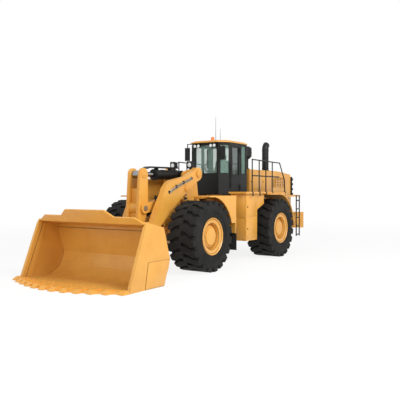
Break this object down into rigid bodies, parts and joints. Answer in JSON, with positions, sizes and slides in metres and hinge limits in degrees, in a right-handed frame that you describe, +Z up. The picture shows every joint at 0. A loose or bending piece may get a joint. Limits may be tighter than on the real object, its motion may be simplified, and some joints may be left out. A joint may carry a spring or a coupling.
{
  "type": "articulated wheel loader",
  "caption": "Large articulated wheel loader on lugged tyres, with a central hitch, high cab, Z-bar lift arms and a toothed rock bucket that lifts, tilts and steers",
  "frame": {"origin": "centre of the plan at ground level", "axes": "+X forward to the bucket, +Y to the machine's left, +Z up"},
  "size_m": [12.3625, 3.9, 4.98],
  "materials": {
    "beacon_amber": "gloss",
    "black_paint": "satin",
    "dark_paint": "satin",
    "edge_steel": "worn",
    "flap_rubber": "matte",
    "pin_steel": "brushed",
    "rod_chrome": "polished",
    "seat_plastic": "matte",
    "tyre_rubber": "matte",
    "window_glass": "clear",
    "yellow_paint": "satin"
  },
  "bodies": {
    "rear": {"rear_frame": "yellow_paint", "counterweight": "yellow_paint", "engine": "dark_paint", "hood": "yellow_paint", "radiator_grille": "black_paint", "exhaust_stack": "dark_paint", "air_precleaner": "dark_paint", "cab_shell": "dark_paint", "cab_glass": "window_glass", "cab_roof": "yellow_paint", "cab_interior": "seat_plastic", "roof_beacon": "beacon_amber", "antennas": "black_paint", "work_lamps": "black_paint", "mirrors": "black_paint", "decks": "yellow_paint", "handrails": "black_paint", "side_tanks": "yellow_paint", "rear_fenders": "yellow_paint", "rear_ladder": "black_paint", "drivetrain": "dark_paint", "rear_axle": "yellow_paint"},
    "front": {"front_frame": "yellow_paint", "front_axle": "yellow_paint", "front_fenders": "yellow_paint", "mud_flaps": "flap_rubber", "front_lamps": "black_paint"},
    "door": {"cab_door": "dark_paint", "door_glass": "window_glass"},
    "arms": {"lift_arms": "yellow_paint", "bucket_pins": "pin_steel", "lever_pin": "pin_steel"},
    "bucket": {"bucket": "yellow_paint", "cutting_edge": "edge_steel"},
    "lever": {"tilt_lever": "yellow_paint", "link_pin": "pin_steel"},
    "link": {"tilt_link": "yellow_paint"},
    "tilt_barrel": {"tilt_barrel": "black_paint"},
    "tilt_rod": {"tilt_rod": "rod_chrome"},
    "lift_barrels": {"lift_barrels": "yellow_paint"},
    "lift_rods": {"lift_rods": "rod_chrome"},
    "steer_barrel_left": {"steer_barrel_left": "black_paint"},
    "steer_rod_left": {"steer_rod_left": "rod_chrome"},
    "steer_barrel_right": {"steer_barrel_right": "black_paint"},
    "steer_rod_right": {"steer_rod_right": "rod_chrome"},
    "wheel_front_left": {"wheel_front_left": "yellow_paint", "tyre_front_left": "tyre_rubber"},
    "wheel_front_right": {"wheel_front_right": "yellow_paint", "tyre_front_right": "tyre_rubber"},
    "wheel_rear_left": {"wheel_rear_left": "yellow_paint", "tyre_rear_left": "tyre_rubber"},
    "wheel_rear_right": {"wheel_rear_right": "yellow_paint", "tyre_rear_right": "tyre_rubber"}
  },
  "joints": [
    {"name": "articulation", "type": "hinge", "parent": "rear", "child": "front", "pos_m": [-0.725, 0, 1.225], "axis": [0, 0, 1], "range_deg": [-43, 43]},
    {"name": "door_swing", "type": "hinge", "parent": "rear", "child": "door", "pos_m": [-1.649, 0.82, 3.1], "axis": [0, 0, 1], "range_deg": [0, 85]},
    {"name": "lift", "type": "hinge", "parent": "front", "child": "arms", "pos_m": [0.655, 0, 2.89], "axis": [0, -1, 0], "range_deg": [-2, 75]},
    {"name": "tilt", "type": "hinge", "parent": "arms", "child": "bucket", "pos_m": [3.725, 0, 0.56], "axis": [0, -1, 0], "range_deg": [-122, 40]},
    {"name": "lever_tilt", "type": "hinge", "parent": "arms", "child": "lever", "pos_m": [2.865, 0, 1.86], "axis": [0, -1, 0], "range_deg": [-10.16, 28.94]},
    {"name": "link_tilt", "type": "hinge", "parent": "lever", "child": "link", "pos_m": [3.055, 0, 0.88], "axis": [0, -1, 0], "range_deg": [-49.8, 17]},
    {"name": "tilt_barrel_swing", "type": "hinge", "parent": "front", "child": "tilt_barrel", "pos_m": [0.879, 0, 2.857], "axis": [0, -1, 0], "range_deg": [-3.14, 81.17]},
    {"name": "tilt_rod_slide", "type": "slide", "parent": "tilt_barrel", "child": "tilt_rod", "axis": [0.9999, 0, -0.0138], "range_m": [-0.46, 0.158]},
    {"name": "lift_barrel_swing", "type": "hinge", "parent": "front", "child": "lift_barrels", "pos_m": [0.925, 0, 0.95], "axis": [0, -1, 0], "range_deg": [-1.17, 7.44]},
    {"name": "lift_rod_slide", "type": "slide", "parent": "lift_barrels", "child": "lift_rods", "axis": [0.2487, 0, 0.9686], "range_m": [-0.035, 0.955]},
    {"name": "steer_swing_left", "type": "hinge", "parent": "rear", "child": "steer_barrel_left", "pos_m": [-1.725, 0.7, 1.18], "axis": [0, 0, 1], "range_deg": [-7.28, 7.28]},
    {"name": "steer_slide_left", "type": "slide", "parent": "steer_barrel_left", "child": "steer_rod_left", "axis": [0.9889, -0.1487, 0], "range_m": [-0.396, 0.396]},
    {"name": "steer_swing_right", "type": "hinge", "parent": "rear", "child": "steer_barrel_right", "pos_m": [-1.725, -0.7, 1.18], "axis": [0, 0, 1], "range_deg": [-7.28, 7.28]},
    {"name": "steer_slide_right", "type": "slide", "parent": "steer_barrel_right", "child": "steer_rod_right", "axis": [0.9889, 0.1487, 0], "range_m": [-0.396, 0.396]},
    {"name": "roll_front_left", "type": "hinge", "parent": "front", "child": "wheel_front_left", "pos_m": [1.55, 1.3, 1.035], "axis": [0, 1, 0], "continuous": true},
    {"name": "roll_front_right", "type": "hinge", "parent": "front", "child": "wheel_front_right", "pos_m": [1.55, -1.3, 1.035], "axis": [0, 1, 0], "continuous": true},
    {"name": "roll_rear_left", "type": "hinge", "parent": "rear", "child": "wheel_rear_left", "pos_m": [-3, 1.3, 1.035], "axis": [0, 1, 0], "continuous": true},
    {"name": "roll_rear_right", "type": "hinge", "parent": "rear", "child": "wheel_rear_right", "pos_m": [-3, -1.3, 1.035], "axis": [0, 1, 0], "continuous": true}
  ],
  "couplings": [
    {"joint": "lever_tilt", "follows": "tilt", "ratio": -0.229},
    {"joint": "link_tilt", "follows": "tilt", "ratio": 0.4},
    {"joint": "tilt_barrel_swing", "follows": "lift", "ratio": 1.0689},
    {"joint": "tilt_rod_slide", "follows": "tilt", "m_per_rad": 0.21156},
    {"joint": "lift_barrel_swing", "follows": "lift", "ratio": 0.085822},
    {"joint": "lift_rod_slide", "follows": "lift", "m_per_rad": 0.72165},
    {"joint": "steer_swing_left", "follows": "articulation", "ratio": 0.14593},
    {"joint": "steer_slide_left", "follows": "articulation", "m_per_rad": -0.5139},
    {"joint": "steer_swing_right", "follows": "articulation", "ratio": 0.14593},
    {"joint": "steer_slide_right", "follows": "articulation", "m_per_rad": 0.5139}
  ]
}
